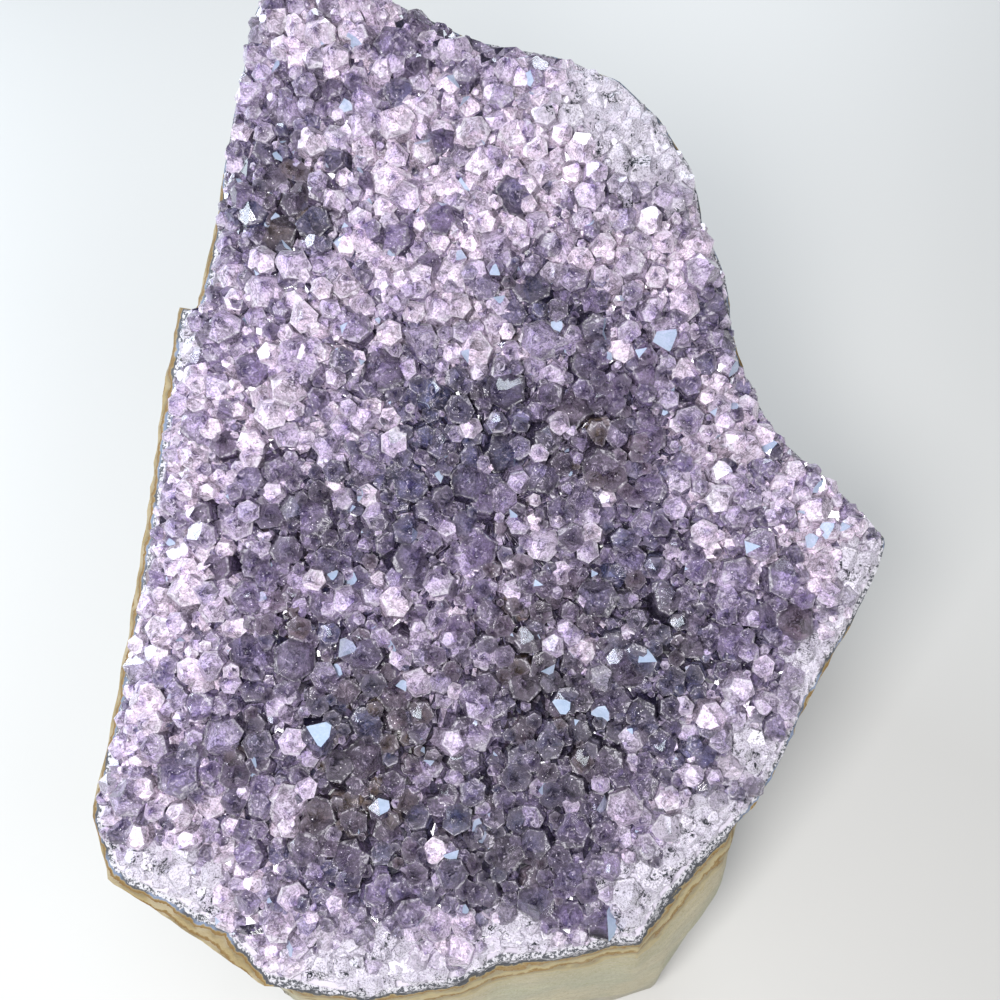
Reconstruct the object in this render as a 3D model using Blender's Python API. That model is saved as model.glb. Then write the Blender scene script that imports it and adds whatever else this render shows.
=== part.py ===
"""Amethyst geode: a piece of a geode's wall that stands on a flat sawn base.

The stone is one solid, and the crystals on its face are one fused crust. Lengths are in millimetres up to
the point where a mesh is made, which is in metres. The origin is in the plane of the base, in the middle of
the whole object's plan. +Z is up and -Y is the front.
"""

import math

import bmesh
import bpy
import numpy as np
from mathutils import Matrix, Vector, noise

MM = 0.001
OBJECT_NAME = "amethyst_geode"

# The face at the crystals' tips: an even slope that rises to the back, rounded off near the rim
FACE_HEIGHT = 116.0
FACE_RISE = 0.5
EDGE_FALL = 4.0
EDGE_POWER = 6
SLOPE_STEP = 2.0

# Swells and hollows of the face: x, y, how far each spreads, how high it is
SWELLS = (
    (20.0, 62.0, 24.0, 3.0),
    (-38.0, 28.0, 22.0, 3.0),
    (8.0, -22.0, 34.0, -5.0),
    (-45.0, 56.0, 14.0, -2.5),
    (60.0, 22.0, 20.0, -8.0),
    (54.0, -52.0, 16.0, -3.0),
)

# The crust of crystals: its floor, the bare strip of stone outside it and the gap under it
CRUST_DEPTH = 9.0
CRUST_FLOOR = 4.2
CRUST_LIP = 2.4
LIP_SHARE = 0.97
RIM_STRIP = 1.6
GAP = 0.4
BED_STEPS = (0.3, 0.55, 0.78, 1.0)

# The block that the crust's underside is cut with, and the deeper block that it is cut from
CUTTER_BOTTOM = 20.0
CUTTER_OVERHANG = 12.0
FLOOR_BOTTOM = 25.0

# The crystals' places: the plan's box that they are tried in, and how their width falls over the tries
CRYSTAL_SEED = 11
CRYSTAL_COUNT = 225
CRYSTAL_TRIES = 60000
CRYSTAL_WIDTHS = (12.0, 7.5)
NARROWEST_AFTER = 2500
NARROWING_POWER = 0.6
PLAN_X = (-82.0, 82.0)
PLAN_Y = (-92.0, 104.0)
CRYSTAL_SPACING = 0.9
EDGE_ROOM = 0.4
ROUND_STEPS = 8

# The crystals' form: some stand proud of the others
CRYSTAL_TILT = 0.42
CRYSTAL_ROOT = 0.5
POINT_SHARE = 0.52
PROUD_SHARE = 0.16
PROUD_HEIGHT = 1.8
LEVEL_HEIGHTS = (-0.9, 0.3)
FLAT_ANGLE = math.radians(2)

# The stone below the face
SIDE_LEVELS = (0.86, 0.7, 0.52, 0.36, 0.2)
SIDE_FLARE = 1.75
FRONT_FLARE = 1.0
FOOT_HEIGHT = 8.0
FOOT_SET_BACK = 1.6
SAWN_FROM = math.radians(-118)
SAWN_TO = math.radians(-46)
SAWN_FADE = math.radians(8)
SHOULDER_AT = math.radians(-50)
SHOULDER_SPREAD = math.radians(16)
SHOULDER_SWELL = 6.0

# The broken sides: how far they swing in and out, how long their largest lumps are, how fast finer lumps
# fade, how much finer each layer of them is and how many layers there are
ROUGH_SWING = 5.0
ROUGH_SCALE = 21.0
ROUGH_FADE = 0.9
ROUGH_FINER = 2.2
ROUGH_LAYERS = 3

# Steps round the outlines, and the share of a step within which two corners count as one
STEP_ANGLE = math.radians(7.5)
SAME_CORNER = 0.1

# Outline of the stone at its rim, seen from above, anticlockwise from the front
RIM = (
    (1.0, -83.0), (12.0, -82.5), (23.0, -80.0), (29.5, -79.5), (34.0, -73.0), (43.0, -64.0),
    (53.5, -55.0), (59.0, -47.0), (64.5, -36.0), (74.0, -21.5), (78.5, -13.0), (80.5, -8.0),
    (72.5, 0.5), (62.5, 11.5), (57.0, 19.5), (51.0, 31.0), (48.5, 42.0), (43.5, 50.5),
    (41.5, 59.5), (34.5, 69.0), (26.5, 76.0), (16.0, 80.5), (-4.0, 85.0), (-20.5, 92.5),
    (-34.0, 101.5), (-44.0, 100.0), (-50.0, 91.0), (-55.0, 67.5), (-58.0, 48.5), (-61.0, 34.0),
    (-64.5, 34.5), (-67.0, 23.0), (-72.0, -13.0), (-76.5, -39.0), (-80.5, -57.0), (-77.0, -69.0),
    (-66.0, -75.0), (-55.0, -81.5), (-45.5, -87.5), (-24.0, -89.5), (-6.0, -86.5),
)

# Outline of the flat base, seen from above, anticlockwise from the front
BASE = (
    (-28.0, -101.0), (39.0, -82.0), (47.0, -62.0), (52.0, -28.0), (47.0, 12.0), (26.0, 38.0),
    (-16.0, 44.0), (-44.0, 30.0), (-56.0, -12.0), (-60.0, -56.0), (-52.0, -84.0),
)

CENTRE = (0.0, -5.0)

STONE_COLOUR = (0.45, 0.40, 0.29, 1.0)
STONE_ROUGHNESS = 0.8
AMETHYST_COLOUR = (0.36, 0.26, 0.50, 1.0)
AMETHYST_ROUGHNESS = 0.15


def clear_scene():
    for obj in list(bpy.data.objects):
        bpy.data.objects.remove(obj)


def new_collection(name):
    collection = bpy.data.collections.new(name)
    bpy.context.scene.collection.children.link(collection)
    return collection


def material(name, colour, roughness):
    made = bpy.data.materials.new(name)
    made.use_nodes = True
    shader = made.node_tree.nodes["Principled BSDF"]
    shader.inputs["Base Color"].default_value = colour
    shader.inputs["Roughness"].default_value = roughness
    shader.inputs["Metallic"].default_value = 0.0
    return made


def mesh_object(name, bm, collection):
    mesh = bpy.data.meshes.new(name)
    bm.to_mesh(mesh)
    bm.free()
    obj = bpy.data.objects.new(name, mesh)
    collection.objects.link(obj)
    return obj


def polar(point):
    """Angle and distance of a point from the centre that the outlines are measured from."""
    x, y = point[0] - CENTRE[0], point[1] - CENTRE[1]
    return math.atan2(y, x), math.hypot(x, y)


def reach(outline, angle):
    """Distance from the centre to a closed outline in one direction."""
    across = Vector((-math.sin(angle), math.cos(angle)))
    along = Vector((math.cos(angle), math.sin(angle)))
    farthest = 0.0
    for start, end in zip(outline, outline[1:] + outline[:1]):
        a = Vector(start) - Vector(CENTRE)
        b = Vector(end) - Vector(CENTRE)
        side_a, side_b = a.dot(across), b.dot(across)
        if side_a * side_b > 0.0 or side_a == side_b:
            continue
        hit = a.lerp(b, side_a / (side_a - side_b)).dot(along)
        farthest = max(farthest, hit)
    return farthest


def ring_angles():
    """Every corner of the two outlines, with even steps between them where they leave room."""
    corners = sorted(polar(point)[0] for point in RIM + BASE)
    kept = [corners[0]]
    for angle in corners[1:]:
        if angle - kept[-1] > SAME_CORNER * STEP_ANGLE:
            kept.append(angle)
    angles = []
    for start, end in zip(kept, kept[1:] + [kept[0] + math.tau]):
        parts = max(1, round((end - start) / STEP_ANGLE))
        angles += [start + (end - start) * part / parts for part in range(parts)]
    return angles


def face_height(x, y):
    """Height of the crystals' tips over a point of the plan."""
    angle, distance = polar((x, y))
    share = distance / reach(RIM, angle)
    height = FACE_HEIGHT + FACE_RISE * y - EDGE_FALL * share**EDGE_POWER
    for swell_x, swell_y, spread, rise in SWELLS:
        height += rise * math.exp(-((x - swell_x) ** 2 + (y - swell_y) ** 2) / spread**2)
    return height


def bed_point(x, y, above=0.0):
    """A point over the stone's bed, on which the crystals stand."""
    return Vector((x, y, face_height(x, y) - CRUST_DEPTH + above))


def bed_normal(x, y):
    along_x = bed_point(x + SLOPE_STEP, y) - bed_point(x - SLOPE_STEP, y)
    along_y = bed_point(x, y + SLOPE_STEP) - bed_point(x, y - SLOPE_STEP)
    return along_x.cross(along_y).normalized()


def plan_point(angle, distance):
    return CENTRE[0] + distance * math.cos(angle), CENTRE[1] + distance * math.sin(angle)


def bed_ring(angles, share, above=0.0):
    """One ring of the bed, at a share of the way from its middle to the crust's edge."""
    ring = []
    for angle in angles:
        x, y = plan_point(angle, share * (reach(RIM, angle) - RIM_STRIP))
        ring.append(bed_point(x, y, above))
    return ring


def sawn(angle):
    """1 on the sawn front wall, 0 on the broken sides, with a short change between them."""
    turn = (angle + math.pi) % math.tau - math.pi
    inside = min(turn - SAWN_FROM, SAWN_TO - turn) / SAWN_FADE
    return min(1.0, max(0.0, 0.5 + inside))


def broken(point, angle, level):
    """Moves a point of a side out or in, as a break through rough rock leaves it."""
    lumps = noise.fractal(point / ROUGH_SCALE, ROUGH_FADE, ROUGH_FINER, ROUGH_LAYERS)
    swing = ROUGH_SWING * lumps * math.sin(math.pi * level) * (1.0 - sawn(angle))
    return point + swing * Vector((math.cos(angle), math.sin(angle), 0.0))


def shoulder(angle, level):
    """How far the front right corner swells out between the base and the rim."""
    away = ((angle + math.pi) % math.tau - math.pi - SHOULDER_AT) / SHOULDER_SPREAD
    return SHOULDER_SWELL * math.exp(-away * away) * math.sin(math.pi * level)


def side_ring(angles, level):
    """One ring of the stone's sides, at a share of the way up from the base to the rim."""
    ring = []
    for angle in angles:
        flare = SIDE_FLARE + (FRONT_FLARE - SIDE_FLARE) * sawn(angle)
        low, high = reach(BASE, angle), reach(RIM, angle)
        x, y = plan_point(angle, low + (high - low) * level**flare + shoulder(angle, level))
        top = bed_point(*plan_point(angle, high)).z
        ring.append(broken(Vector((x, y, level * top)), angle, level))
    return ring


def foot_ring(angles, height, set_back):
    return [Vector((*plan_point(angle, reach(BASE, angle) - set_back), height)) for angle in angles]


def rim_ring(angles, outward, above=0.0):
    """The bed's height at the stone's rim, on a ring that may lie outside it."""
    ring = []
    for angle in angles:
        edge = reach(RIM, angle)
        height = bed_point(*plan_point(angle, edge)).z
        ring.append(Vector((*plan_point(angle, edge + outward), height + above)))
    return ring


def level_ring(angles, outward, height):
    return [Vector((*plan_point(angle, reach(RIM, angle) + outward), height)) for angle in angles]


def loft(rings):
    """A closed solid through rings of points, with a fan on the first ring and one flat face on the last."""
    bm = bmesh.new()
    rows = [[bm.verts.new(point * MM) for point in ring] for ring in rings]
    for upper, lower in zip(rows, rows[1:]):
        for i in range(len(upper)):
            j = (i + 1) % len(upper)
            bm.faces.new((upper[i], lower[i], lower[j], upper[j]))
    top = bm.faces.new(rows[0])
    bm.faces.new(rows[-1][::-1])
    bmesh.ops.poke(bm, faces=[top])
    bmesh.ops.triangulate(bm, faces=[face for face in bm.faces if len(face.verts) == 4])
    bmesh.ops.recalc_face_normals(bm, faces=bm.faces)
    return bm


def make_matrix(collection):
    """The stone: its bed below the crystals, a bare strip at the rim, the sides and the sawn base."""
    angles = ring_angles()
    rings = [bed_ring(angles, share) for share in BED_STEPS]
    rings.append(rim_ring(angles, 0.0))
    rings += [side_ring(angles, level) for level in SIDE_LEVELS]
    rings.append(foot_ring(angles, FOOT_HEIGHT, 0.0))
    rings.append(foot_ring(angles, 0.0, FOOT_SET_BACK))
    stone = mesh_object("matrix", loft(rings), collection)
    stone.data.materials.append(material("stone", STONE_COLOUR, STONE_ROUGHNESS))
    return stone


def make_crust_floor(collection):
    """The sheet of quartz that the crystals rise from, so deep that the stone's bed can be cut from it."""
    angles = ring_angles()
    rings = [bed_ring(angles, share, CRUST_FLOOR) for share in BED_STEPS[:-1]]
    rings.append(bed_ring(angles, LIP_SHARE, CRUST_LIP))
    rings.append(bed_ring(angles, 1.0, 0.0))
    rings.append(level_ring(angles, -RIM_STRIP, FLOOR_BOTTOM))
    return mesh_object("crystal_crust", loft(rings), collection)


def make_bed_cutter(collection):
    """The stone's bed raised by the gap, as a block that reaches past the rim."""
    angles = ring_angles()
    rings = [bed_ring(angles, share, GAP) for share in BED_STEPS]
    rings.append(rim_ring(angles, 0.0, GAP))
    rings.append(rim_ring(angles, CUTTER_OVERHANG, GAP))
    rings.append(level_ring(angles, CUTTER_OVERHANG, CUTTER_BOTTOM))
    return mesh_object("bed_cutter", loft(rings), collection)


def clear_of_rim(x, y, margin):
    """Whether a disc round a point of the plan lies inside the stone's rim."""
    for step in range(ROUND_STEPS):
        turn = step * math.tau / ROUND_STEPS
        angle, distance = polar((x + margin * math.cos(turn), y + margin * math.sin(turn)))
        if distance > reach(RIM, angle):
            return False
    return True


def crystal_places():
    """Where the crystals stand and how wide each is: the widest are set first, the others between them."""
    chance = np.random.default_rng(CRYSTAL_SEED)
    places = []
    widest, narrowest = CRYSTAL_WIDTHS
    for attempt in range(CRYSTAL_TRIES):
        if len(places) == CRYSTAL_COUNT:
            break
        width = widest + (narrowest - widest) * min(1.0, attempt / NARROWEST_AFTER) ** NARROWING_POWER
        x, y = chance.uniform(*PLAN_X), chance.uniform(*PLAN_Y)
        if not clear_of_rim(x, y, RIM_STRIP + EDGE_ROOM * width):
            continue
        apart = (CRYSTAL_SPACING * (width + other) / 2 for _, _, other in places)
        if all(math.hypot(x - px, y - py) > far for (px, py, _), far in zip(places, apart)):
            places.append((x, y, width))
    return places


def add_crystal(bm, foot, axis, spin, width, prism):
    """A six-sided prism with a six-sided point, standing on its foot along its axis."""
    turn = axis.to_track_quat("Z", "Y").to_matrix().to_4x4() @ Matrix.Rotation(spin, 4, "Z")
    place = Matrix.Translation(foot * MM) @ turn @ Matrix.Translation((0.0, 0.0, prism * MM / 2))
    radius = 0.5 * width * MM
    made = bmesh.ops.create_cone(
        bm, cap_ends=True, segments=6, radius1=radius, radius2=radius, depth=prism * MM, matrix=place
    )
    six_sided = {face for vert in made["verts"] for face in vert.link_faces if len(face.verts) == 6}
    top = max(six_sided, key=lambda face: face.calc_center_median().dot(axis))
    tip = bmesh.ops.poke(bm, faces=[top])["verts"][0]
    tip.co += axis * POINT_SHARE * width * MM


def make_crystals(collection):
    """One object for each crystal, which the crust joins to its floor."""
    chance = np.random.default_rng(CRYSTAL_SEED + 1)
    for number, (x, y, width) in enumerate(crystal_places()):
        lean = Vector(chance.normal(0.0, CRYSTAL_TILT / 2, 3))
        if lean.length > CRYSTAL_TILT:
            lean *= CRYSTAL_TILT / lean.length
        axis = (bed_normal(x, y) + lean).normalized()
        foot = bed_point(x, y) + bed_normal(x, y) * CRYSTAL_ROOT
        proud = PROUD_HEIGHT if chance.random() < PROUD_SHARE else chance.uniform(*LEVEL_HEIGHTS)
        bm = bmesh.new()
        add_crystal(bm, foot, axis, chance.uniform(0.0, math.tau), width, CRUST_FLOOR - CRYSTAL_ROOT + proud)
        crystal = mesh_object(f"crystal_{number:03d}", bm, collection)
        crystal.hide_render = True
        crystal.display_type = "WIRE"


def outer_shell(bm):
    """Deletes all but the largest shell, so that no void is left between crystals that lean together."""
    left = set(bm.faces)
    shells = []
    while left:
        shell = set()
        edge_of_shell = {left.pop()}
        while edge_of_shell:
            face = edge_of_shell.pop()
            shell.add(face)
            beside = {other for edge in face.edges for other in edge.link_faces}
            edge_of_shell |= beside - shell
        left -= shell
        shells.append(shell)
    largest = max(shells, key=len)
    loose = [face for face in bm.faces if face not in largest]
    bmesh.ops.delete(bm, geom=loose, context="FACES")


def make_crust(collection, joined, cutters):
    """The crust: its floor and every crystal on it, fused in one solid and cut to the stone's bed."""
    crust = make_crust_floor(collection)
    make_crystals(joined)
    union = crust.modifiers.new("crystals", "BOOLEAN")
    union.operation = "UNION"
    union.operand_type = "COLLECTION"
    union.collection = joined
    underside = crust.modifiers.new("underside", "BOOLEAN")
    underside.operation = "DIFFERENCE"
    underside.object = make_bed_cutter(cutters)
    graph = bpy.context.evaluated_depsgraph_get()
    bm = bmesh.new()
    bm.from_object(crust, graph)
    crust.modifiers.clear()
    for collection_used in (joined, cutters):
        for helper in list(collection_used.objects):
            bpy.data.objects.remove(helper)
        bpy.data.collections.remove(collection_used)
    outer_shell(bm)
    bmesh.ops.dissolve_limit(bm, angle_limit=FLAT_ANGLE, verts=bm.verts, edges=bm.edges)
    bmesh.ops.triangulate(bm, faces=bm.faces)
    bm.to_mesh(crust.data)
    bm.free()
    crust.data.materials.append(material("amethyst", AMETHYST_COLOUR, AMETHYST_ROUGHNESS))
    return crust


def main():
    clear_scene()
    parts = new_collection(OBJECT_NAME)
    make_matrix(parts)
    make_crust(parts, new_collection("crystals_to_join"), new_collection("cutters"))


main()
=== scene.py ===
"""Amethyst geode: its looks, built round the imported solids. Metres, the stone's front to -Y."""

import math

import bmesh
import bpy
import numpy as np
from mathutils import Matrix, Vector, noise
from mathutils.bvhtree import BVHTree
from mathutils.geometry import points_in_planes


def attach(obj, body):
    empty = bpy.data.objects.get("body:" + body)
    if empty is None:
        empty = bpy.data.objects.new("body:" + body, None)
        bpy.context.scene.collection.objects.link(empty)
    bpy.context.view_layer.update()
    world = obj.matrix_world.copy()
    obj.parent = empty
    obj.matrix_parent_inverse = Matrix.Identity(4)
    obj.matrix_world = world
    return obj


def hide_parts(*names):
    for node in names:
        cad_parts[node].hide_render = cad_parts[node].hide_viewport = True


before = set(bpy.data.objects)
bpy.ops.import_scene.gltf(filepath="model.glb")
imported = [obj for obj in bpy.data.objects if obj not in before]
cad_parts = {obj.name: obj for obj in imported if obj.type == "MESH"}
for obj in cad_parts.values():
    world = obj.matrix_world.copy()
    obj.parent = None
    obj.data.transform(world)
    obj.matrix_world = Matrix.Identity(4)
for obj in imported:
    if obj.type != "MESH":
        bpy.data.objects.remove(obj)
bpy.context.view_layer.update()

MM = 0.001
SEED = 5

# The middle of the plan, from which the rim's distance is read off the stone
CENTRE = Vector((0.0, -0.005, 0.0))
RIM_STEPS = 400

# The bare rim of stone outside the crystals: its least width, and where it is wider, as the middle and the half of
# the stretch in degrees and the width added
RIM_STRIP = 0.7 * MM
RIM_WIDER = ((186, 60, 1.6 * MM), (233, 15, 2.0 * MM))
RIM_FADE = 14.0
RIM_RIPPLE = 0.7 * MM
RIPPLE_SCALE = 14.0

FLAT_ENOUGH = 0.6

# Crystals, the widest set first: widest, narrowest, how many, how many tries, how close to their like and to wider
# ones, as shares of the width, and the height of their tips
CRYSTAL_ROUNDS = (
    (8.8, 7.0, 50, 5000, 0.98, 0.98, 8.3),
    (7.0, 5.4, 230, 20000, 0.94, 0.74, 7.6),
    (5.4, 4.2, 520, 40000, 0.92, 0.68, 6.9),
    (4.2, 3.2, 860, 60000, 0.90, 0.64, 6.1),
    (3.2, 2.2, 1000, 70000, 0.90, 0.60, 5.1),
    (2.2, 1.4, 1100, 80000, 0.90, 0.57, 4.4),
)
SUGAR_HELD = 0.86
HEIGHT_SPREAD = 1.6 * MM
EDGE_ROOM = 0.42
RIM_FALL = 9.0 * MM
RIM_HEIGHT = 0.55
LEAN = 0.26
MOST_LEAN = 0.6
LEAN_IN = 0.35
POINT_ANGLE = math.radians(51.8)
SAME_FACE = math.radians(0.5)
SUGAR_WIDTH = 3.4
SUGAR_HEIGHT = 0.72
SUGAR_RIM = 5.0 * MM
FLOOR_TOP = 3.0 * MM
FLOOR_LIP = 1.6 * MM
FLOOR_ROUGH = 0.9 * MM
BEDDED = 0.8 * MM
FLOOR_SUGAR = 1.0 * MM
FLOOR_RINGS = 36
FLOOR_STEPS = 220
DEEPEST = 10.0
BASE_OUT = 4.0

# The stone's side: how finely it is made, where it is sawn, and how rough it is where it is broken
SIDE_LEVELS = 60
BED_SHARES = (0.992, 0.98, 0.96, 0.92, 0.86, 0.78, 0.68, 0.56, 0.42, 0.26, 0.1)
SAWN_FROM = math.radians(-118)
SAWN_TO = math.radians(-46)
SAWN_FADE = math.radians(5)
CHIPS = ((2.0 * MM, 42.0), (1.5 * MM, 115.0), (0.7 * MM, 260.0))
DEEP_CHIP = 2.6 * MM
PIT_DEPTH = 0.8 * MM
WAVE_DEPTH = 0.35 * MM
ROUGH_FROM = 5.0 * MM
RIM_CHIP = 0.9 * MM
RIM_CHIP_SCALE = 160.0
FOOT_WEAR = 0.6
FOOT_FADE = 30.0 * MM

# Patches of the face, each as x, y and how far it spreads, in millimetres
PALE = (
    (14, 62, 22), (-8, 48, 20), (-28, 30, 18), (-48, 22, 16), (-8, 26, 12), (-32, 16, 10), (-60, 8, 12), (-62, -20, 12),
    (-70, -52, 12), (66, -10, 12), (52, 8, 14), (50, -46, 10), (36, -62, 10), (-38, 84, 14), (38, 50, 12), (-50, -66, 12),
)
WHITE = (
    (32, 62, 12), (22, 70, 10), (-65, -72, 12), (-31, -85, 9), (-18, -84, 7), (4, -80, 8), (30, -72, 10), (42, -60, 8),
    (-64, 26, 6), (74, -14, 6), (66, -30, 7), (52, -45, 6), (-72, 8, 5), (-74, -14, 5),
)
SMOKY = (
    (-40, 48, 14), (-12, 12, 14), (12, 30, 8), (20, -48, 18), (-8, -48, 16), (34, -26, 14), (-30, -40, 14), (-26, -56, 14),
    (12, 6, 14), (-32, -4, 12), (12, -28, 14), (2, -66, 12), (-50, -46, 8),
)
BROWN = ((-20, -40, 14), (-28, -54, 10), (20, 8, 9), (8, -22, 12), (-38, 52, 10), (-41, -66, 7), (-40, -20, 9))
SLATE = ((-6, 20, 13), (4, 30, 9), (-66, -36, 9), (-38, -72, 8), (-20, 2, 9), (40, -40, 9), (20, 74, 8), (46, 30, 9))


def linear(red, green, blue):
    """An sRGB colour of 0 to 255 as Blender's linear values."""
    shares = [value / 255 for value in (red, green, blue)]
    return tuple(s / 12.92 if s <= 0.04045 else ((s + 0.055) / 1.055) ** 2.4 for s in shares)


DEEP = linear(98, 88, 126)
SMOKE = linear(116, 112, 122)
BROWN_SMOKE = linear(132, 114, 94)
SLATE_BLUE = linear(98, 108, 150)
VIOLET = linear(150, 135, 176)
LILAC = linear(182, 165, 197)
PINK = linear(208, 189, 206)
QUARTZ = linear(194, 188, 202)

BED_PALE = linear(200, 192, 206)
BED_DARK = linear(62, 58, 70)
CREAM = (*linear(196, 188, 158), 1.0)
GREENISH = (*linear(178, 178, 152), 1.0)
STRAW = (*linear(182, 167, 126), 1.0)
TAN = (*linear(154, 142, 110), 1.0)
AGATE_CREAM = (*linear(200, 192, 168), 1.0)
RIND_SHADE = (*linear(196, 190, 180), 1.0)
SALT = (*linear(190, 188, 194), 1.0)
GREY_STONE = (*linear(164, 158, 146), 1.0)
OLIVE = (*linear(140, 128, 92), 1.0)
OCHRE = (*linear(150, 123, 72), 1.0)
RUST = (*linear(128, 88, 42), 1.0)
CHALCEDONY = (*linear(104, 116, 138), 1.0)
CHALCEDONY_DARK = (*linear(64, 66, 72), 1.0)
BASALT = (*linear(92, 84, 74), 1.0)
BASALT_PALE = (*linear(138, 128, 108), 1.0)
BASALT_DARK = (*linear(54, 50, 46), 1.0)
UMBER = (*linear(112, 88, 62), 1.0)
GREEN_EARTH = (*linear(98, 112, 88), 1.0)
# White for the painted edge highlights and for the specks, which are partly real grains and partly painted sparkle
HIGHLIGHT_AND_GRAIN_WHITE = (*linear(250, 248, 252), 1.0)
SUGAR_WHITE = (*linear(198, 193, 205), 1.0)
# Pale blue painted onto a few facets, as a painted reflection of a bright window
PAINTED_REFLECTION_BLUE = (*linear(162, 180, 204), 1.0)
VEIL_PALE = (*linear(234, 222, 243), 1.0)
# The colour of the painted shade deep among the crystals' feet
CREVICE_SHADE = (*linear(44, 36, 60), 1.0)
CORE_VIOLET = (*linear(104, 86, 150), 1.0)
SPECK_BLACK = (*linear(34, 38, 44), 1.0)


def link(obj):
    bpy.context.scene.collection.objects.link(obj)
    return obj


def mesh_object(name, bm):
    mesh = bpy.data.meshes.new(name)
    bm.to_mesh(mesh)
    bm.free()
    return link(bpy.data.objects.new(name, mesh))


def field(patches, x, y):
    """How strongly a point, in metres, lies in a set of patches, from 0 to 1."""
    miss = 1.0
    for patch_x, patch_y, spread in patches:
        away = ((x / MM - patch_x) ** 2 + (y / MM - patch_y) ** 2) / spread**2
        miss *= 1.0 - math.exp(-away)
    return 1.0 - miss


class Bed:
    """The stone's top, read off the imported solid: its height, its slope and where its rim is."""

    def __init__(self, stone):
        bm = bmesh.new()
        bm.from_mesh(stone.data)
        bm.transform(stone.matrix_world)
        self.tree = BVHTree.FromBMesh(bm)
        bm.free()
        self.rim = [self.find_rim(math.tau * step / RIM_STEPS) for step in range(RIM_STEPS)]

    def drop(self, x, y):
        hit, normal, _, _ = self.tree.ray_cast(Vector((x, y, 1.0)), Vector((0.0, 0.0, -1.0)))
        return hit.z if hit is not None and normal.z > FLAT_ENOUGH else None

    def find_rim(self, angle):
        low, high = 0.02, 0.14
        for _ in range(22):
            middle = (low + high) / 2
            x, y = CENTRE.x + middle * math.cos(angle), CENTRE.y + middle * math.sin(angle)
            low, high = (low, middle) if self.drop(x, y) is None else (middle, high)
        return low

    def reach(self, angle):
        place = angle % math.tau / math.tau * RIM_STEPS
        step = int(place) % RIM_STEPS
        return self.rim[step] + (self.rim[(step + 1) % RIM_STEPS] - self.rim[step]) * (place - int(place))

    def side(self, angle, height):
        """How far out of the middle the stone's side is, at an angle and a height."""
        out = Vector((math.cos(angle), math.sin(angle), 0.0))
        hit, _, _, _ = self.tree.ray_cast(Vector((CENTRE.x, CENTRE.y, height)) + 0.2 * out, -out)
        return (hit.xy - CENTRE.xy).length

    def strip(self, angle):
        """How wide the bare rim of stone is at an angle."""
        width = RIM_STRIP + RIM_RIPPLE * abs(noise.noise(Vector((math.cos(angle), math.sin(angle), 0.0)) * RIPPLE_SCALE))
        for middle, half, wider in RIM_WIDER:
            away = abs((math.degrees(angle) - middle + 180) % 360 - 180)
            width += wider * min(1.0, max(0.0, (half - away) / RIM_FADE))
        return width

    def room(self, x, y):
        """Distance from a point of the plan out to where the crystals end."""
        angle = math.atan2(y - CENTRE.y, x - CENTRE.x)
        return self.reach(angle) - self.strip(angle) - math.hypot(x - CENTRE.x, y - CENTRE.y)

    def point(self, x, y, above=0.0):
        return Vector((x, y, self.drop(x, y) + above))

    def normal(self, x, y, step=4.0 * MM):
        here = self.drop(x, y)
        heights = [self.drop(x + dx, y + dy) for dx, dy in ((step, 0), (-step, 0), (0, step), (0, -step))]
        east, west, north, south = (here if height is None else height for height in heights)
        return Vector((west - east, south - north, 2 * step)).normalized()


def crystal_places(bed, chance):
    """Where the crystals stand, how wide each is and how high its tip is."""
    placed = np.zeros((0, 4))
    for widest, narrowest, wanted, tries, own, others, height in CRYSTAL_ROUNDS:
        made = 0
        for _ in range(tries):
            if made == wanted:
                break
            width = chance.uniform(narrowest, widest) * MM
            x, y = chance.uniform(-0.082, 0.082), chance.uniform(-0.093, 0.104)
            if bed.room(x, y) < EDGE_ROOM * width:
                continue
            sugar = field(WHITE, x, y) + 0.5 * max(0.0, 1.0 - bed.room(x, y) / SUGAR_RIM)
            if width > SUGAR_WIDTH * MM and chance.random() < SUGAR_HELD * sugar:
                continue
            apart = np.hypot(placed[:, 0] - x, placed[:, 1] - y)
            share = np.where(placed[:, 3] > height * MM, others, own)
            if (apart < share * (placed[:, 2] + width) / 2).any():
                continue
            placed = np.vstack([placed, [x, y, width, height * MM]])
            made += 1
    return placed


def crystal_corners(width, length, chance):
    """Corners of one quartz crystal in millimetres, its tip near the origin and its axis down -Z."""
    spin = chance.uniform(0.0, math.tau)
    uneven = chance.uniform(0.0, 0.16)
    planes = [Vector((0.0, 0.0, -1.0, -length))]
    for side in range(6):
        angle = spin + side * math.tau / 6
        across = Vector((math.cos(angle), math.sin(angle), 0.0))
        away = 0.46 * width * (1.0 + chance.uniform(-uneven, uneven))
        planes.append(Vector((across.x, across.y, 0.02, -away)))
        late = width * (chance.uniform(0.0, 0.04) + (side % 2) * chance.uniform(0.0, 0.16))
        slope = across * math.sin(POINT_ANGLE)
        planes.append(Vector((slope.x, slope.y, math.cos(POINT_ANGLE), -late)))
    return points_in_planes(planes)[0]


def toward(colour, other, share):
    return colour.lerp(Vector(other), min(1.0, max(0.0, share)))


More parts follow.
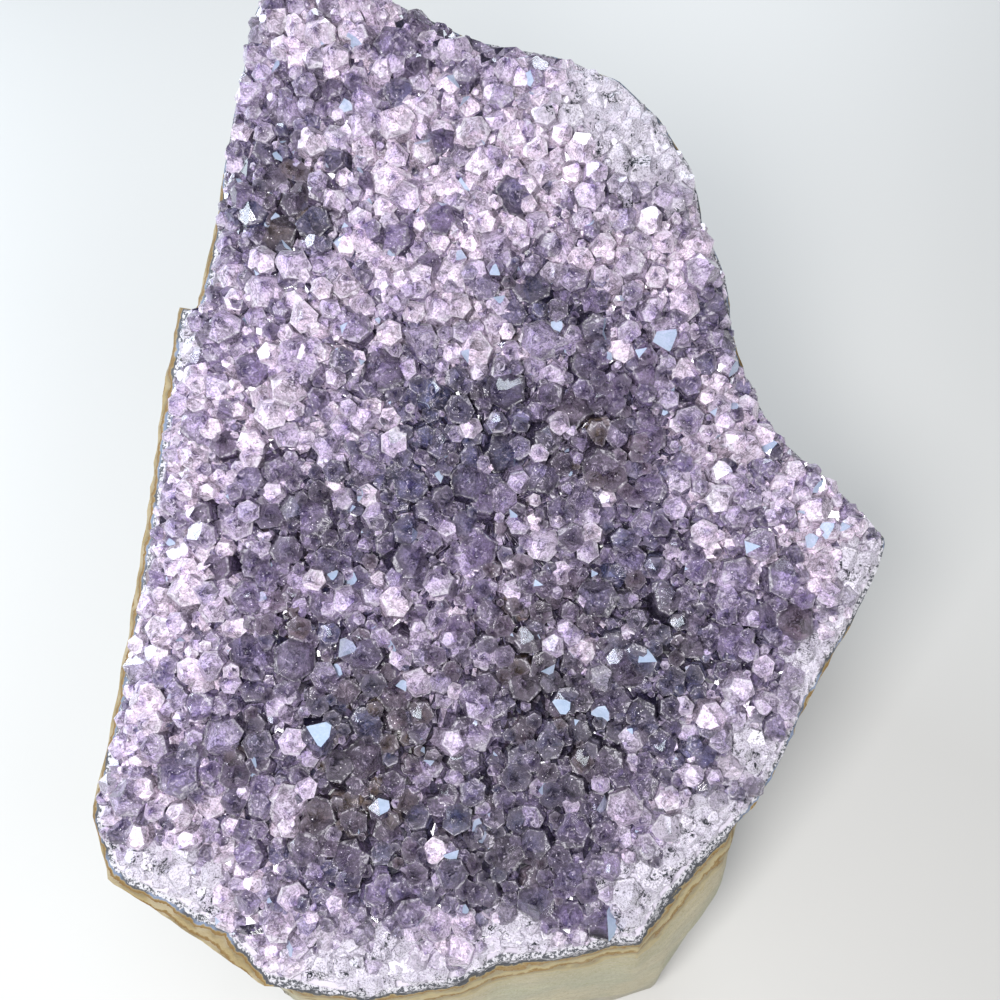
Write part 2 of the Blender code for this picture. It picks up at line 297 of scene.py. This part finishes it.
def crystal_colour(x, y, room, chance):
    """The colour of a crystal, how milky it is and how sugary, from where it stands."""
    mottle = noise.noise(Vector((x, y, 0.0)) * 55.0)
    light = 0.63 + 0.26 * field(PALE, x, y) - 0.4 * field(SMOKY, x, y) + 0.44 * mottle + chance.normal(0.0, 0.26)
    light = min(1.0, max(0.0, light))
    hue = chance.normal(0.0, 0.38)
    dark = toward(Vector(DEEP), SMOKE, 0.75 * field(SMOKY, x, y) + hue)
    dark = toward(dark, BROWN_SMOKE, 0.9 * field(BROWN, x, y) - hue)
    dark = toward(dark, SLATE_BLUE, 0.9 * field(SLATE, x, y) + hue)
    middle = toward(Vector(VIOLET), dark, 0.3 + 0.5 * hue)
    colour = toward(toward(toward(dark, middle, 2 * light), LILAC, 4 * light - 2), PINK, 4 * light - 3)
    snow = 1.3 * field(WHITE, x, y) + 0.5 * max(0.0, 1.0 - room / SUGAR_RIM) + chance.normal(-0.15, 0.2)
    if chance.random() < 0.03:
        snow = max(snow, 0.34)
    snow = min(1.0, max(0.0, snow))
    return (*toward(colour, QUARTZ, 0.9 * snow), max(light, snow)), snow


class Group:
    """Crystals that don't touch one another, gathered as one mesh."""

    def __init__(self):
        self.balls = np.zeros((0, 4))
        self.verts, self.faces, self.tint, self.form = [], [], [], []

    def holds(self, middle, radius):
        apart = np.linalg.norm(self.balls[:, :3] - np.array(middle), axis=1)
        return bool((apart > self.balls[:, 3] + radius).all())

    def add(self, corners, place, width, colour, snow, chance):
        """One closed crystal. Its layers hold each facet's own tone, how far out of the axis and how deep a corner is."""
        bm = bmesh.new()
        made = bmesh.ops.convex_hull(bm, input=[bm.verts.new(corner) for corner in corners])
        buried = [item for item in made["geom_interior"] if isinstance(item, bmesh.types.BMVert)]
        bmesh.ops.delete(bm, geom=buried, context="VERTS")
        bmesh.ops.dissolve_limit(bm, angle_limit=SAME_FACE, verts=bm.verts, edges=bm.edges)
        bmesh.ops.recalc_face_normals(bm, faces=bm.faces)
        bm.verts.index_update()
        first = len(self.verts)
        base = min(vert.co.z for vert in bm.verts) + 0.2
        self.verts += [place @ vert.co for vert in bm.verts]
        for face in bm.faces:
            self.faces.append([first + vert.index for vert in face.verts])
            tone = chance.random()
            for vert in face.verts:
                out = min(1.0, math.hypot(vert.co.x, vert.co.y) / (0.47 * width)) if vert.co.z > base else BASE_OUT
                self.form.append((tone, out, -vert.co.z / DEEPEST, snow))
                self.tint.append(colour)
        bm.free()

    def build(self, name):
        mesh = bpy.data.meshes.new(name)
        mesh.from_pydata(self.verts, [], self.faces)
        for layer, rows in (("tint", self.tint), ("form", self.form)):
            mesh.attributes.new(layer, "FLOAT_COLOR", "CORNER").data.foreach_set("color", np.array(rows).ravel())
        return link(bpy.data.objects.new(name, mesh))


def make_crystals(bed):
    """The crystals in groups of closed meshes that don't touch, ready to be joined."""
    chance = np.random.default_rng(SEED)
    groups = []
    for x, y, width, height in crystal_places(bed, chance):
        normal, foot, room = bed.normal(x, y), bed.point(x, y), bed.room(x, y)
        inward = min(1.0, max(0.0, 1.0 - room / RIM_FALL))
        lean = Vector(chance.normal(0.0, LEAN, 3))
        if lean.length > MOST_LEAN:
            lean *= MOST_LEAN / lean.length
        towards = (CENTRE - Vector((x, y, 0.0))).normalized()
        axis = (normal + lean + LEAN_IN * inward * towards).normalized()
        length = height + chance.uniform(-1.0, 1.0) * HEIGHT_SPREAD
        length *= 1.0 - (1.0 - RIM_HEIGHT) * inward
        length *= 1.0 - (1.0 - SUGAR_HEIGHT) * field(WHITE, x, y)
        tip = foot + axis * length
        place = Matrix.Translation(tip) @ axis.to_track_quat("Z", "Y").to_matrix().to_4x4() @ Matrix.Scale(MM, 4)
        corners = crystal_corners(width / MM, length / MM - 0.3, chance)
        middle, radius = foot + axis * length * 0.4, length * 0.6 + width * 0.5 + 0.6 * MM
        group = next((group for group in groups if group.holds(middle, radius)), None)
        if group is None:
            group = Group()
            groups.append(group)
        group.balls = np.vstack([group.balls, [*middle, radius]])
        group.add(corners, place, width / MM, *crystal_colour(x, y, room, chance), chance)
    return [group.build(f"crystals_{number}") for number, group in enumerate(groups)]


def make_floor(bed):
    """The rough sheet of quartz below the crystals, sunk a little into the stone."""
    chance = np.random.default_rng(SEED)
    bm = bmesh.new()

    def ring(share, above, rough):
        row = []
        for step in range(FLOOR_STEPS):
            angle = math.tau * step / FLOOR_STEPS
            out = share * (bed.reach(angle) - bed.strip(angle))
            x, y = CENTRE.x + out * math.cos(angle), CENTRE.y + out * math.sin(angle)
            height = above + chance.uniform(-rough, rough)
            if above == FLOOR_TOP:
                height -= FLOOR_SUGAR * field(WHITE, x, y)
            row.append(bm.verts.new(bed.point(x, y, height)))
        return row

    shares = [(step + 1) / FLOOR_RINGS for step in range(FLOOR_RINGS)]
    rows = [ring(share, FLOOR_TOP, FLOOR_ROUGH) for share in shares[:-1]] + [ring(0.985, FLOOR_LIP, 0.3 * MM)]
    rows += [ring(share, -BEDDED, 0.0) for share in (0.985, 0.9, 0.75, 0.55, 0.35, 0.15)]
    for first, second in zip(rows, rows[1:]):
        for i in range(FLOOR_STEPS):
            j = (i + 1) % FLOOR_STEPS
            bm.faces.new((first[i], second[i], second[j], first[j]))
    bm.faces.new(rows[0])
    bm.faces.new(rows[-1][::-1])
    bmesh.ops.triangulate(bm, faces=bm.faces)
    bmesh.ops.recalc_face_normals(bm, faces=bm.faces)
    tint = bm.loops.layers.float_color.new("tint")
    form = bm.loops.layers.float_color.new("form")
    for face in bm.faces:
        middle = face.calc_center_median()
        colour, snow = crystal_colour(middle.x, middle.y, bed.room(middle.x, middle.y), chance)
        for loop in face.loops:
            loop[tint] = colour
            # The floor is given the greatest depth, so it takes the full painted shade between the crystals' feet.
            loop[form] = (0.5, BASE_OUT, 1.0, snow)
    return mesh_object("crystal_floor", bm)


def evaluated_mesh(obj):
    graph = bpy.context.evaluated_depsgraph_get()
    return bpy.data.meshes.new_from_object(obj.evaluated_get(graph), preserve_all_data_layers=True, depsgraph=graph)


def make_crust(bed):
    """All the crystals and their floor as one closed mesh."""
    floor = make_floor(bed)
    groups = make_crystals(bed)
    for group in groups:
        join = floor.modifiers.new(group.name, "BOOLEAN")
        join.operation = "UNION"
        join.solver = "MANIFOLD"
        join.object = group
    crust = link(bpy.data.objects.new("amethyst_crust", evaluated_mesh(floor)))
    for helper in [floor] + groups:
        bpy.data.objects.remove(helper)
    crust.data.materials.clear()
    crust.data.materials.append(amethyst_material())
    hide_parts("crystal_crust")
    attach(crust, "root")
    return crust


def add(tree, kind, inputs=None, **settings):
    """A shader node with its settings, and with its inputs set or linked by name or number."""
    made = tree.nodes.new(kind)
    for name, value in settings.items():
        setattr(made, name, value)
    for name, value in (inputs or {}).items():
        if isinstance(value, bpy.types.NodeSocket):
            tree.links.new(value, made.inputs[name])
        else:
            made.inputs[name].default_value = value
    return made


def maths(tree, operation, first, second=0.0):
    return add(tree, "ShaderNodeMath", {0: first, 1: second}, operation=operation).outputs[0]


def ramp(tree, value, low, high, start=0.0, end=1.0):
    """A smooth step from one value to another, as its input goes from low to high."""
    inputs = {"Value": value, "From Min": low, "From Max": high, "To Min": start, "To Max": end}
    return add(tree, "ShaderNodeMapRange", inputs, interpolation_type="SMOOTHSTEP").outputs["Result"]


def blend(tree, share, first, second, how="MIX"):
    return add(tree, "ShaderNodeMix", {0: share, 6: first, 7: second}, data_type="RGBA", blend_type=how).outputs[2]


def noise_at(tree, where, scale, detail, rough, warp=0.0):
    inputs = {"Vector": where, "Scale": scale, "Detail": detail, "Roughness": rough, "Distortion": warp}
    return add(tree, "ShaderNodeTexNoise", inputs).outputs["Fac"]


def blank_material(name):
    material = bpy.data.materials.new(name)
    material.use_nodes = True
    tree = material.node_tree
    shader = tree.nodes["Principled BSDF"]
    return material, tree, shader, tree.nodes["Material Output"]


def amethyst_material():
    """Clear quartz with veils and grain inside, white specks that are partly painted sparkle, pale outlines that are
    painted edge highlights with some wear, violet cores, painted shade at the feet, and a few facets with a painted
    pale-blue reflection.
    """
    material, tree, shader, output = blank_material("amethyst")
    where = add(tree, "ShaderNodeTexCoord").outputs["Object"]
    tint = add(tree, "ShaderNodeAttribute", attribute_name="tint")
    form = add(tree, "ShaderNodeAttribute", attribute_name="form")
    parts = add(tree, "ShaderNodeSeparateColor", {"Color": form.outputs["Color"]})
    tone, out, depth, snow = parts.outputs[0], parts.outputs[1], parts.outputs[2], form.outputs["Alpha"]
    milk = tint.outputs["Alpha"]

    cloud = noise_at(tree, where, 260.0, 3.0, 0.6)
    grain = noise_at(tree, where, 2600.0, 2.0, 0.6)
    veins = noise_at(tree, where, 800.0, 3.0, 0.8, 1.2)
    shard = add(tree, "ShaderNodeTexVoronoi", {"Vector": where, "Scale": 900.0})
    shard_light = add(tree, "ShaderNodeSeparateColor", {"Color": shard.outputs["Color"]}).outputs[0]
    dust = shard.outputs["Distance"]

    light = maths(tree, "MULTIPLY", ramp(tree, shard_light, 0.0, 1.0, 0.55, 1.4), ramp(tree, grain, 0.3, 0.7, 0.5, 1.6))
    light = maths(tree, "MULTIPLY", light, ramp(tree, tone, 0.0, 1.0, 0.5, 1.35))
    body = add(tree, "ShaderNodeVectorMath", {0: tint.outputs["Color"], 3: light}, operation="SCALE").outputs[0]
    rim = maths(tree, "MULTIPLY", ramp(tree, out, 0.35, 1.0), ramp(tree, out, 1.5, 1.02))
    glow = maths(tree, "MULTIPLY", rim, ramp(tree, milk, 0.0, 0.6, 0.34, 0.0))
    body = blend(tree, glow, body, VEIL_PALE)
    halo = maths(tree, "MULTIPLY", rim, ramp(tree, milk, 0.2, 0.8, 0.05, 0.3))
    halo = maths(tree, "MULTIPLY", halo, ramp(tree, cloud, 0.35, 0.6, 0.3, 1.0))
    body = blend(tree, halo, body, VEIL_PALE)
    core = maths(tree, "MULTIPLY", ramp(tree, out, 0.7, 0.1), ramp(tree, cloud, 0.38, 0.58, 0.3, 1.0))
    core = maths(tree, "MULTIPLY", core, ramp(tree, snow, 0.2, 0.7, 0.8, 0.0))
    body = blend(tree, core, body, CORE_VIOLET, "MULTIPLY")
    veil = maths(tree, "MULTIPLY", ramp(tree, veins, 0.46, 0.66), ramp(tree, milk, 0.0, 0.9, 0.45, 0.8))
    body = blend(tree, veil, body, VEIL_PALE)
    # Painted shade: the deeper a point lies among the crystals, the darker it is made, and milky crystals take less of
    # it.
    shade = maths(tree, "MULTIPLY", ramp(tree, depth, 0.16, 0.5), ramp(tree, milk, 0.2, 1.0, 0.95, 0.45))
    body = blend(tree, shade, body, CREVICE_SHADE, "MULTIPLY")
    sugar = maths(tree, "MULTIPLY", ramp(tree, snow, 0.35, 0.8), ramp(tree, grain, 0.3, 0.6, 0.4, 1.0))
    body = blend(tree, sugar, body, SUGAR_WHITE)
    # Pale lines along each crystal's shoulder, where its point meets its prism: painted edge highlight with some real
    # wear, patchy along the veins.
    edge_highlight_and_wear = maths(tree, "MULTIPLY", ramp(tree, out, 0.9, 0.97), ramp(tree, out, 1.07, 1.01, 0.0, 0.5))
    edge_highlight_and_wear = maths(tree, "MULTIPLY", edge_highlight_and_wear, ramp(tree, veins, 0.38, 0.6, 0.1, 1.0))
    body = blend(tree, edge_highlight_and_wear, body, HIGHLIGHT_AND_GRAIN_WHITE)
    # White specks at the cells of a fine pattern: partly real white grains and partly painted sparkle.
    speck_and_sparkle = maths(tree, "MULTIPLY", ramp(tree, dust, 0.15, 0.08), ramp(tree, cloud, 0.42, 0.55))
    body = blend(tree, maths(tree, "MULTIPLY", speck_and_sparkle, 0.7), body, HIGHLIGHT_AND_GRAIN_WHITE)
    soot = maths(tree, "MULTIPLY", ramp(tree, snow, 0.35, 0.6), ramp(tree, cloud, 0.52, 0.6))
    soot = maths(tree, "MULTIPLY", soot, ramp(tree, veins, 0.5, 0.54))
    body = blend(tree, soot, body, SPECK_BLACK)
    # Painted reflection: a few facets of the clear crystals, away from the prism sides, are coloured pale blue as if
    # they mirrored a bright window.
    painted_reflection = maths(tree, "MULTIPLY", ramp(tree, tone, 0.982, 0.985), ramp(tree, snow, 0.5, 0.3, 0.0, 0.85))
    painted_reflection = maths(tree, "MULTIPLY", painted_reflection, ramp(tree, out, 1.1, 1.02))
    body = blend(tree, painted_reflection, body, PAINTED_REFLECTION_BLUE)
    tree.links.new(body, shader.inputs["Base Color"])

    cloudy = maths(tree, "MAXIMUM", maths(tree, "MULTIPLY", veil, 0.8), maths(tree, "MAXIMUM", edge_highlight_and_wear, speck_and_sparkle))
    cloudy = maths(tree, "MAXIMUM", cloudy, ramp(tree, milk, 0.3, 1.0, 0.25, 0.7))
    cloudy = maths(tree, "MAXIMUM", cloudy, maths(tree, "MAXIMUM", maths(tree, "MAXIMUM", sugar, soot), painted_reflection))
    cloudy = maths(tree, "MAXIMUM", cloudy, ramp(tree, out, 1.2, 1.8, 0.0, 0.8))
    tree.links.new(ramp(tree, cloudy, 0.0, 1.0, 0.9, 0.05), shader.inputs["Transmission Weight"])
    shader.inputs["IOR"].default_value = 1.544
    rough = maths(tree, "MAXIMUM", ramp(tree, veins, 0.4, 0.7, 0.02, 0.22), maths(tree, "MULTIPLY", sugar, 0.35))
    tree.links.new(rough, shader.inputs["Roughness"])
    bump = add(tree, "ShaderNodeBump", {"Strength": 0.12, "Distance": 0.0001, "Height": grain})
    tree.links.new(bump.outputs["Normal"], shader.inputs["Normal"])
    absorb = add(tree, "ShaderNodeVolumeAbsorption", {"Color": (0.79, 0.67, 0.88, 1.0), "Density": 110.0})
    tree.links.new(absorb.outputs["Volume"], output.inputs["Volume"])
    return material


def stone_material():
    """Sawn agate rind and broken basalt, in bands that follow the rim, with painted shade in the broken basalt's deeper
    chips.
    """
    material, tree, shader, output = blank_material("stone")
    where = add(tree, "ShaderNodeTexCoord").outputs["Object"]
    form = add(tree, "ShaderNodeAttribute", attribute_name="form")
    parts = add(tree, "ShaderNodeSeparateColor", {"Color": form.outputs["Color"]})
    past, broken, hollow = parts.outputs[0], parts.outputs[1], parts.outputs[2]
    bed = add(tree, "ShaderNodeAttribute", attribute_name="tint").outputs["Color"]

    wave = noise_at(tree, where, 90.0, 4.0, 0.6)
    fine = noise_at(tree, where, 420.0, 4.0, 0.65)
    grit = noise_at(tree, where, 1600.0, 3.0, 0.7)
    blotch = noise_at(tree, where, 45.0, 3.0, 0.55)
    lumps = noise_at(tree, where, 170.0, 2.0, 0.5)
    stretch = add(tree, "ShaderNodeMapping", {"Vector": where, "Scale": (60.0, 60.0, 1400.0)}).outputs[0]
    brushed = noise_at(tree, stretch, 1.0, 3.0, 0.6)

    thinned = maths(tree, "MULTIPLY", past, ramp(tree, broken, 0.0, 1.0, 0.3, 1.0))
    deep = maths(tree, "ADD", thinned, maths(tree, "MULTIPLY", maths(tree, "SUBTRACT", wave, 0.5), 4.5))
    deep = maths(tree, "ADD", deep, maths(tree, "MULTIPLY", maths(tree, "SUBTRACT", fine, 0.5), 2.0))

    sawn = blend(tree, ramp(tree, blotch, 0.42, 0.6), GREENISH, CREAM)
    sawn = blend(tree, maths(tree, "MULTIPLY", ramp(tree, deep, 8.0, 4.0), 0.5), sawn, STRAW)
    sawn = blend(tree, ramp(tree, brushed, 0.35, 0.7, 0.0, 0.5), sawn, GREY_STONE)
    sawn = blend(tree, ramp(tree, grit, 0.5, 0.7, 0.0, 0.5), sawn, OLIVE)
    sawn = blend(tree, ramp(tree, grit, 0.44, 0.3, 0.0, 0.5), sawn, AGATE_CREAM)
    rough = blend(tree, ramp(tree, fine, 0.3, 0.7, 0.0, 0.6), BASALT, BASALT_PALE)
    rough = blend(tree, ramp(tree, blotch, 0.48, 0.66, 0.0, 0.6), rough, GREEN_EARTH)
    rough = blend(tree, ramp(tree, lumps, 0.56, 0.7, 0.0, 0.6), rough, UMBER)
    # Painted shade: the deeper a chip is worn into the broken side, the darker the basalt, and where it is barely worn
    # it is paler.
    rough = blend(tree, ramp(tree, hollow, 0.45, 0.95, 0.0, 0.75), rough, BASALT_DARK)
    rough = blend(tree, ramp(tree, hollow, 0.45, 0.15, 0.0, 0.5), rough, BASALT_PALE)
    rind = blend(tree, ramp(tree, lumps, 0.42, 0.66, 0.0, 0.55), TAN, AGATE_CREAM)
    rind = blend(tree, ramp(tree, grit, 0.5, 0.7, 0.0, 0.6), rind, OLIVE)
    rough = blend(tree, ramp(tree, deep, 14.0, 7.0), rough, rind)
    rough = blend(tree, ramp(tree, grit, 0.55, 0.75, 0.0, 0.45), rough, BASALT_DARK)
    rough = blend(tree, ramp(tree, grit, 0.42, 0.3, 0.0, 0.35), rough, GREY_STONE)
    up = add(tree, "ShaderNodeSeparateXYZ", {"Vector": where}).outputs["Z"]
    sawn = blend(tree, ramp(tree, up, 0.0145, 0.012, 0.0, 0.6), sawn, GREY_STONE)
    torn = maths(tree, "ADD", broken, maths(tree, "MULTIPLY", maths(tree, "SUBTRACT", fine, 0.5), 1.6))
    body = blend(tree, ramp(tree, torn, 0.42, 0.58), sawn, rough)

    line = maths(tree, "FRACT", maths(tree, "MULTIPLY", deep, 0.62))
    ochre = blend(tree, ramp(tree, line, 0.1, 0.5), TAN, STRAW)
    ochre = blend(tree, maths(tree, "MULTIPLY", ramp(tree, lumps, 0.46, 0.62, 0.0, 0.7), broken), ochre, AGATE_CREAM)
    ochre = blend(tree, ramp(tree, line, 0.62, 0.8), ochre, OCHRE)
    ochre = blend(tree, ramp(tree, line, 0.9, 0.97, 0.0, 0.7), ochre, RUST)
    ochre = blend(tree, broken, ochre, RIND_SHADE, "MULTIPLY")
    body = blend(tree, ramp(tree, deep, 4.3, 3.9), body, ochre)
    blue = maths(tree, "MULTIPLY", broken, ramp(tree, lumps, 0.42, 0.56))
    chalcedony = blend(tree, blue, CHALCEDONY_DARK, CHALCEDONY)
    body = blend(tree, ramp(tree, deep, 1.15, 0.9), body, chalcedony)
    salt = blend(tree, ramp(tree, grit, 0.44, 0.56), SALT, CHALCEDONY_DARK)
    body = blend(tree, ramp(tree, deep, 0.6, 0.4), body, salt)
    body = blend(tree, ramp(tree, past, 0.0, -0.6), body, bed)
    tree.links.new(body, shader.inputs["Base Color"])
    tree.links.new(ramp(tree, fine, 0.3, 0.7, 0.5, 0.85), shader.inputs["Roughness"])
    height = maths(tree, "ADD", maths(tree, "MULTIPLY", brushed, 0.35), maths(tree, "MULTIPLY", grit, 0.5))
    height = maths(tree, "ADD", height, maths(tree, "MULTIPLY", maths(tree, "MULTIPLY", fine, broken), 2.0))
    bump = add(tree, "ShaderNodeBump", {"Strength": 0.6, "Distance": 0.0004, "Height": height})
    tree.links.new(bump.outputs["Normal"], shader.inputs["Normal"])
    return material


def brokenness(angle):
    """0 on the sawn wall, 1 on the broken sides, with a short fade between."""
    turn = (angle + math.pi) % math.tau - math.pi
    outside = max(SAWN_FROM - turn, turn - SAWN_TO)
    return min(1.0, max(0.0, 0.5 + outside / SAWN_FADE))


def stone_hollow(point, broken, below):
    """How far the stone's side is worn in at a point."""
    chips = sum(depth * noise.voronoi(point * scale)[0][0] for depth, scale in CHIPS)
    pits = PIT_DEPTH * (0.5 + noise.noise(point * 520.0))
    waves = WAVE_DEPTH * (0.5 + noise.noise(point * 90.0))
    deep = min(1.0, below / ROUGH_FROM)
    worn = deep * (waves + broken * (chips + pits)) + (1.0 - deep) * RIM_CHIP * abs(noise.noise(point * RIM_CHIP_SCALE))
    return worn * min(1.0, FOOT_WEAR + point.z / FOOT_FADE)


def make_stone(bed):
    """The stone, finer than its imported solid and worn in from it, with a flat base."""
    bm = bmesh.new()
    details = {}

    def ring(points, form):
        row = [bm.verts.new(point) for point in points]
        details.update(zip(row, form))
        return row

    angles = [math.tau * step / RIM_STEPS for step in range(RIM_STEPS)]
    outs = [Vector((math.cos(angle), math.sin(angle), 0.0)) for angle in angles]
    reach = [bed.reach(angle) for angle in angles]
    tops = [bed.drop(*(CENTRE + 0.999 * far * out).xy) for far, out in zip(reach, outs)]
    rows = []
    for share in BED_SHARES[::-1]:
        points = [bed.point(*(CENTRE + share * far * out).xy) for far, out in zip(reach, outs)]
        past = [(bed.strip(angle) - (1.0 - share) * far) / MM for angle, far in zip(angles, reach)]
        rows.append(ring(points, [(beyond, brokenness(angle), 0.0) for beyond, angle in zip(past, angles)]))
    for level in range(SIDE_LEVELS + 1):
        points, form = [], []
        for angle, out, far, top in zip(angles, outs, reach, tops):
            height = top * (1.0 - level / SIDE_LEVELS)
            middle, broken = Vector((CENTRE.x, CENTRE.y, height)), brokenness(angle)
            if level:
                far = bed.side(angle, max(height, 0.2 * MM))
            worn = stone_hollow(middle + far * out, broken, top - height)
            points.append(middle + (far - worn) * out)
            form.append(((bed.strip(angle) + top - height) / MM, broken, worn / DEEP_CHIP))
        rows.append(ring(points, form))
    for first, second in zip(rows, rows[1:]):
        for i in range(RIM_STEPS):
            j = (i + 1) % RIM_STEPS
            bm.faces.new((first[i], second[i], second[j], first[j]))
    bm.faces.new(rows[0])
    bm.faces.new(rows[-1][::-1])
    bmesh.ops.triangulate(bm, faces=bm.faces)
    bmesh.ops.recalc_face_normals(bm, faces=bm.faces)
    tint = bm.loops.layers.float_color.new("tint")
    form = bm.loops.layers.float_color.new("form")
    for vert in bm.verts:
        x, y, _ = vert.co
        colour = Vector(BED_PALE).lerp(Vector(BED_DARK), min(1.0, field(SMOKY, x, y) + 0.5 * field(SLATE, x, y)))
        for loop in vert.link_loops:
            loop[tint] = (*colour, 1.0)
            loop[form] = (*details[vert], 1.0)
    stone = mesh_object("stone", bm)
    stone.data.shade_smooth()
    stone.data.set_sharp_from_angle(angle=math.radians(40))
    stone.data.materials.append(stone_material())
    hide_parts("matrix")
    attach(stone, "root")
    return stone


def aim(obj, place, target):
    obj.location = place
    obj.rotation_euler = (Vector(target) - Vector(place)).to_track_quat("-Z", "Y").to_euler()


def area_light(name, place, target, size, power, colour=(1.0, 1.0, 1.0)):
    lamp = bpy.data.lights.new(name, "AREA")
    lamp.size = size
    lamp.energy = power
    lamp.color = colour
    aim(link(bpy.data.objects.new(name, lamp)), place, target)


def make_studio():
    """A pale floor and soft lamps. The nearest lamp stands beside the camera, as the photograph's flash did."""
    bm = bmesh.new()
    bmesh.ops.create_grid(bm, x_segments=1, y_segments=1, size=4.0)
    floor = mesh_object("floor", bm)
    material, tree, shader, output = blank_material("floor")
    shader.inputs["Base Color"].default_value = (0.52, 0.51, 0.49, 1.0)
    shader.inputs["Roughness"].default_value = 0.6
    floor.data.materials.append(material)
    area_light("key", (-0.07, -0.17, 0.36), (0.0, 0.0, 0.08), 0.10, 1.5)
    area_light("window", (-0.50, 0.20, 0.25), (0.0, 0.0, 0.1), 0.30, 3.3, (0.80, 0.90, 1.0))
    area_light("back", (0.15, 0.60, 0.35), (0.0, 0.0, 0.1), 0.30, 2.4, (0.84, 0.92, 1.0))
    area_light("soft", (0.5, -0.3, 0.7), (0.0, 0.0, 0.1), 0.4, 1.6)
    world = bpy.data.worlds.new("studio")
    world.use_nodes = True
    world.node_tree.nodes["Background"].inputs["Color"].default_value = (0.92, 0.94, 1.0, 1.0)
    world.node_tree.nodes["Background"].inputs["Strength"].default_value = 0.38
    world.cycles.sampling_method = "NONE"
    bpy.context.scene.world = world
    bpy.context.scene.view_settings.view_transform = "Standard"


def limit_light_paths():
    """Few bounces and plain lamp sampling, which look the same here and keep the render short."""
    cycles = bpy.context.scene.cycles
    cycles.use_light_tree = False
    cycles.max_bounces = 4
    cycles.diffuse_bounces = 2
    cycles.glossy_bounces = 1
    cycles.transmission_bounces = 4


CAMERA_PLACE = (0.0015, -0.113, 0.297)
CAMERA_TILT = math.radians(30)
FOCAL_PIXELS = 1100.0
PICTURE_PIXELS = 1000.0
SENSOR = 36.0


def make_camera():
    camera = bpy.data.cameras.new("camera")
    camera.sensor_width = SENSOR
    camera.lens = SENSOR * FOCAL_PIXELS / PICTURE_PIXELS
    camera.clip_start = 0.01
    obj = link(bpy.data.objects.new("camera", camera))
    obj.location = CAMERA_PLACE
    obj.rotation_euler = (CAMERA_TILT, 0.0, 0.0)
    bpy.context.scene.camera = obj


make_camera()
bed = Bed(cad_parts["matrix"])
make_crust(bed)
make_stone(bed)
make_studio()
limit_light_paths()
